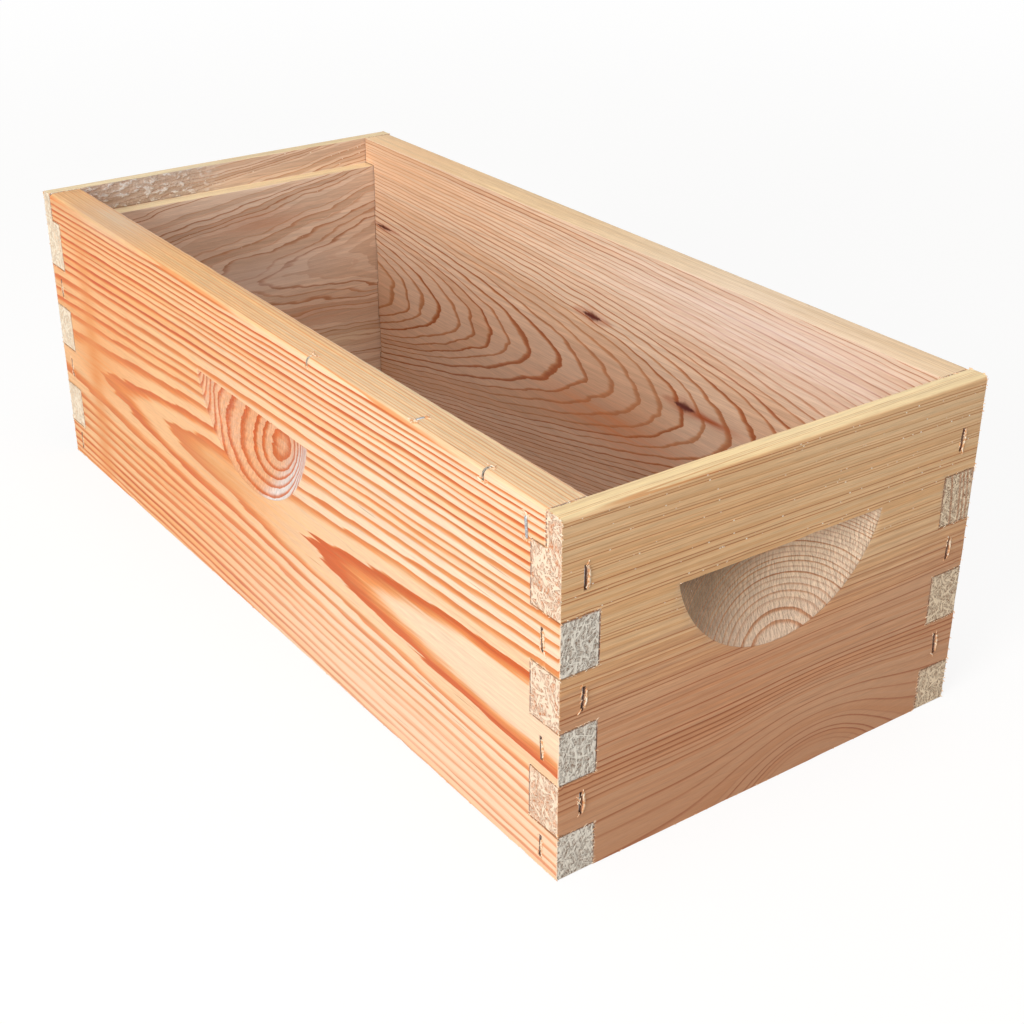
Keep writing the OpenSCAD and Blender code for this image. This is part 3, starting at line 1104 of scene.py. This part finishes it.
def grow(name, places, tree, **inputs):
    """Runs a tree on points and returns the result as a plain mesh object."""
    worker = bpy.data.objects.new(name + "_points", point_mesh(name + "_points", places))
    bpy.context.collection.objects.link(worker)
    modifier = worker.modifiers.new("grow", "NODES")
    modifier.node_group = tree
    for item in tree.interface.items_tree:
        key = item.name.lower()
        if item.in_out == "INPUT" and key in inputs:
            modifier[item.identifier] = float(inputs[key])
    view = worker.evaluated_get(bpy.context.evaluated_depsgraph_get())
    data = bpy.data.meshes.new_from_object(view)
    data.name = name
    bpy.data.objects.remove(worker)
    made = bpy.data.objects.new(name, data)
    bpy.context.collection.objects.link(made)
    return made


def carried(tree, name):
    """A vector that the points carry."""
    made = add(tree, "GeometryNodeInputNamedAttribute", {"Name": name}, data_type="FLOAT_VECTOR")
    return made.outputs[0]


def set_on_points(tree, points, instance, material, **choice):
    """Instances at the points' own aim and size, made real, with their material."""
    turn = add(tree, "FunctionNodeEulerToRotation", [carried(tree, "aim")]).outputs[0]
    size = carried(tree, "size")
    inputs = {"Points": points, "Instance": instance, "Rotation": turn, "Scale": size}
    inputs.update({key.replace("_", " "): value for key, value in choice.items()})
    many = add(tree, "GeometryNodeInstanceOnPoints", inputs).outputs[0]
    real = add(tree, "GeometryNodeRealizeInstances", [many]).outputs[0]
    return add(tree, "GeometryNodeSetMaterial", {0: real, "Material": material}).outputs[0]


# %% Bent wire tree


def make_bent_wire():
    """A staple: four points, rounded corners, and a soft square section drawn along them."""
    tree, given, out = new_geometry_tree(
        "bent_wire", [("Crown", 11.1 * MM), ("Leg", 32 * MM), ("Wire", 1.5 * MM), ("Bend", 1.2 * MM)],
    )
    half_wire = product(tree, given["Wire"], 0.5)
    half = calc(tree, "SUBTRACT", product(tree, given["Crown"], 0.5), half_wire)
    other = product(tree, half, -1.0)
    top = product(tree, half_wire, -1.0)
    foot = product(tree, given["Leg"], -1.0)
    path = add(tree, "GeometryNodeCurvePrimitiveQuadrilateral", mode="POINTS")
    for index, (x, z) in enumerate(((other, foot), (other, top), (half, top), (half, foot)), 1):
        corner = add(tree, "ShaderNodeCombineXYZ", [x, 0.0, z]).outputs[0]
        tree.links.new(corner, path.inputs["Point %d" % index])
    opened = add(tree, "GeometryNodeSetSplineCyclic", {0: path.outputs[0], "Cyclic": False}).outputs[0]
    inputs = {"Curve": opened, "Count": 4, "Radius": given["Bend"]}
    bent = add(tree, "GeometryNodeFilletCurve", inputs, mode="POLY").outputs[0]
    square = {"Width": given["Wire"], "Height": given["Wire"]}
    section = add(tree, "GeometryNodeCurvePrimitiveQuadrilateral", square).outputs[0]
    inputs = {"Curve": section, "Count": 3, "Radius": product(tree, given["Wire"], 0.28)}
    section = add(tree, "GeometryNodeFilletCurve", inputs, mode="POLY").outputs[0]
    inputs = {"Curve": bent, "Profile Curve": section, "Fill Caps": True}
    wire = add(tree, "GeometryNodeCurveToMesh", inputs).outputs[0]
    tree.links.new(set_on_points(tree, given["Geometry"], wire, zinc), out[0])
    return tree


bent_wire = make_bent_wire()
for name, places in staples.items():
    sizes = {key: places[0][key] for key in ("crown", "leg", "wire")}
    piece = grow(name + "_wire", places, bent_wire, **sizes)
    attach(piece, "root")
    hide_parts(name)
    print(piece.name, len(piece.data.polygons), "faces")

# %% [markdown]
# ## Torn fibres
# A staple gun punches its slot and throws up a lip of fibres on one side; a saw leaves a fringe
# along every shoulder. Each is a short tapering strand, so one tree draws a few crooked strands and
# sets one of them on each point: large and few beside the slots, small and many along the seams.

# %% Torn wood material


def torn_wood():
    """Fresh, pale fibres with some of the board's own colour."""
    material, tree, shader = new_material("torn_wood")
    inputs = {"Vector": millimetres(tree), "Scale": 0.8, "Detail": 2.0}
    patch = add(tree, "ShaderNodeTexNoise", inputs).outputs[0]
    colour = blend_colour(tree, ramp(tree, patch, 0.35, 0.65), srgb(255, 238, 212), srgb(222, 162, 108))
    tree.links.new(colour, shader.inputs["Base Color"])
    shader.inputs["Roughness"].default_value = 0.75
    return material


torn = torn_wood()
print("material", torn.name)

# %% Strand tree
STRAND_KINDS = 6
STRAND_SEED = 4
CROOK = 1.4 * MM


def make_strand():
    """Crooked strands of a few kinds; each point picks one by a fixed seed."""
    tree, given, out = new_geometry_tree(
        "torn_strand",
        [
            ("Length", 2 * MM), ("Thickness", 0.2 * MM), ("Bow", 0.3 * MM), ("Lift", 0.2 * MM),
            ("Rough", 0.1 * MM),
        ],
    )
    half = product(tree, given["Length"], 0.5)
    start = add(tree, "ShaderNodeCombineXYZ", [product(tree, half, -1.0), 0.0, 0.0]).outputs[0]
    middle = add(tree, "ShaderNodeCombineXYZ", [0.0, given["Bow"], given["Lift"]]).outputs[0]
    end = add(tree, "ShaderNodeCombineXYZ", [half, 0.0, 0.0]).outputs[0]
    inputs = {"Resolution": 9, "Start": start, "Middle": middle, "End": end}
    path = add(tree, "GeometryNodeCurveQuadraticBezier", inputs).outputs[0]
    along = add(tree, "GeometryNodeSplineParameter").outputs["Factor"]
    full = product(tree, along, calc(tree, "SUBTRACT", 1.0, along), 4.0)
    full = calc(tree, "ADD", calc(tree, "POWER", full, 0.7), 0.12)
    inputs = {"Resolution": 6, "Radius": given["Thickness"]}
    section = add(tree, "GeometryNodeCurvePrimitiveCircle", inputs).outputs[0]
    here = add(tree, "GeometryNodeInputPosition").outputs[0]
    kinds = add(tree, "GeometryNodeJoinGeometry")
    for kind in range(STRAND_KINDS):
        inputs = {"Vector": here, "W": 3.7 * kind, "Scale": 1 / CROOK, "Detail": 1.0}
        shake = add(tree, "ShaderNodeTexNoise", inputs, noise_dimensions="4D").outputs
        offset = vector_calc(tree, "SUBTRACT", shake["Color"], (0.5, 0.5, 0.5))
        inputs = {0: offset, "Scale": given["Rough"]}
        offset = add(tree, "ShaderNodeVectorMath", inputs, operation="SCALE").outputs[0]
        crooked = add(tree, "GeometryNodeSetPosition", {"Geometry": path, "Offset": offset}).outputs[0]
        radius = product(tree, full, ramp(tree, shake[0], 0.3, 0.7, 0.55, 1.35))
        crooked = add(tree, "GeometryNodeSetCurveRadius", {"Curve": crooked, "Radius": radius}).outputs[0]
        inputs = {"Curve": crooked, "Profile Curve": section, "Fill Caps": True}
        body = add(tree, "GeometryNodeCurveToMesh", inputs).outputs[0]
        single = add(tree, "GeometryNodeGeometryToInstance", [body]).outputs[0]
        tree.links.new(single, kinds.inputs[0])
    pick = add(tree, "FunctionNodeRandomValue", {"Seed": STRAND_SEED}, data_type="INT")
    pick.inputs[4].default_value = 0
    pick.inputs[5].default_value = STRAND_KINDS - 1
    choice = {"Pick_Instance": True, "Instance_Index": pick.outputs[2]}
    tree.links.new(set_on_points(tree, given["Geometry"], kinds.outputs[0], torn, **choice), out[0])
    return tree


strand = make_strand()
print("tree", strand.name)

# %% Lips and splinters beside the driven slots
dice = random.Random(5)
END_LIPS = ((1.2, 0.0, 1.0), (1.75, 2.5, 0.62))
SIDE_LIPS = ((0.9, 0.0, 0.9), (0.15, 1.5, 0.6), (0.3, 2.0, 0.45))
LIP_SINK = 0.1 * MM
SLOT_SPLINTERS = 7
lips = {"side": [], "end": []}
splinters = {"side": [], "end": []}


def face_point(place, outward):
    """The point on the box's outer face straight out from a staple's crown."""
    out = place.copy()
    for axis, reach in ((0, BOX_WIDTH / 2), (1, BOX_LENGTH / 2)):
        if abs(outward[axis]) > 0.9:
            out[axis] = math.copysign(reach, outward[axis])
    return out


def facing(run, outward):
    """A turn whose X runs along the strand and whose Z points out of the face."""
    side = outward.cross(run).normalized()
    return Matrix((side.cross(outward), side, outward)).transposed()


def tear_slot(staple, kind):
    """A lip of fibres on one side of a driven staple's slot, and splinters on both."""
    crown, side, outward = staple["turn"].col
    right = side if side.dot(Vector((1, -1, 0))) > 0 else -side
    run = crown if crown.cross(right).dot(outward) > 0 else -crown
    turn = Matrix((run, right, outward)).transposed()
    base = face_point(staple["place"], outward)
    size = dice.uniform(0.8, 1.1) * (1.0 if kind == "end" else 0.8)
    for shift, reach, share in END_LIPS if kind == "end" else SIDE_LIPS:
        spot = base + right * shift * MM + crown * dice.uniform(-reach, reach) * MM - outward * LIP_SINK
        lips[kind].append({"place": spot, "turn": turn, "size": size * share})
    reach = staple["crown"] * 0.55
    for _ in range(SLOT_SPLINTERS):
        swing = Matrix.Rotation(dice.uniform(-0.7, 0.7), 3, outward)
        spot = base + crown * dice.uniform(-reach, reach)
        spot += right * dice.choice((-1, 1)) * dice.uniform(0.7, 1.5) * MM
        splinters[kind].append({"place": spot, "turn": swing @ turn, "size": dice.uniform(0.5, 1.2)})


for name, places in staples.items():
    if name.endswith(("end_staples", "side_staples")):
        for staple in places:
            tear_slot(staple, "end" if "_end_" in name else "side")
print("lips", {kind: len(group) for kind, group in lips.items()})

# %% Splinters round the shallow staples
SHALLOW_SPLINTERS = 14
SHALLOW_REACH = 2.4 * MM
left_data = boards["left_side"].data
left_skin = BVHTree.FromPolygons(
    [vert.co for vert in left_data.vertices], [polygon.vertices for polygon in left_data.polygons],
)


def tear_surface(staple):
    """Splinters that lie on the board round the two ends of a shallow staple."""
    crown, side, outward = staple["turn"].col
    for index in range(SHALLOW_SPLINTERS):
        tip = staple["place"] + crown * staple["crown"] * (0.5 if index % 2 else -0.5)
        along = crown * dice.uniform(-1, 1) * SHALLOW_REACH * 0.5
        tip += along + side * dice.uniform(-1, 1) * SHALLOW_REACH
        spot, normal = left_skin.find_nearest(tip)[:2]
        run = Vector((dice.uniform(-0.4, 0.4), 1.0, dice.uniform(-0.4, 0.4)))
        turn = facing(run, normal)
        splinters["side"].append({"place": spot, "turn": turn, "size": dice.uniform(0.8, 1.6)})


for name in ("rim_staples", "stray_staple"):
    for staple in staples[name]:
        tear_surface(staple)
print("splinters", {kind: len(group) for kind, group in splinters.items()})

# %% Strands on the points


def place_torn(name, places, slot, **inputs):
    """A piece of torn strands that rides on the box; sizes are in millimetres."""
    piece = grow(name, places, strand, **{key: value * MM for key, value in inputs.items()})
    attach(piece, "root")
    print(piece.name, len(places), "strands", len(piece.data.polygons), "faces")


for kind in lips:
    place_torn(kind + "_slot_lips", lips[kind], kind + "_wood",
               length=10.5, thickness=0.5, bow=1.2, lift=0.55, rough=1.1)
    place_torn(kind + "_slot_splinters", splinters[kind], kind + "_wood",
               length=2.6, thickness=0.2, bow=0.4, lift=0.3, rough=0.4)

# %% Fringe along the seams
FRINGE_SHARE = 0.55
OUTER_REACH = 0.35 * MM
UPRIGHT = 0.3


def way_out(middle, normal, seamed):
    """Out of the box at an upright corner of an outer face or at a seam of the rim, and else None."""
    if abs(normal.z) < UPRIGHT:
        if abs(middle.x) > BOX_WIDTH / 2 - OUTER_REACH:
            return Vector((math.copysign(1, middle.x), 0, 0))
        if abs(middle.y) > BOX_LENGTH / 2 - OUTER_REACH:
            return Vector((0, math.copysign(1, middle.y), 0))
    elif seamed and middle.z > BOX_HEIGHT - OUTER_REACH:
        return Vector((0, 0, 1))
    return None


def fringe(board, grain):
    """Short strands across the upright shoulders and corners of one board, and on its rim's seams."""
    places = []
    seam, pale_edge = (board.data.attributes[key].data for key in ("seam", "pale_edge"))
    for polygon in board.data.polygons:
        seamed = seam[polygon.index].value > 0
        if not seamed and pale_edge[polygon.index].value == 0:
            continue
        outward = way_out(polygon.center, polygon.normal, seamed)
        if outward is None or dice.random() > FRINGE_SHARE:
            continue
        run = grain if outward.z else Vector((abs(outward.y), abs(outward.x), 0))
        turn = Matrix.Rotation(dice.uniform(-0.6, 0.6), 3, outward) @ facing(run, outward)
        spot = polygon.center - outward * SKIN
        places.append({"place": spot, "turn": turn, "size": dice.uniform(0.5, 1.3)})
    return places


for name, board in boards.items():
    if name.endswith("side"):
        slot, grain = "side_wood", Vector((0, 1, 0))
    else:
        slot, grain = "end_wood", Vector((1, 0, 0))
    place_torn(name + "_fringe", fringe(board, grain), slot,
               length=1.5, thickness=0.16, bow=0.2, lift=0.1, rough=0.15)
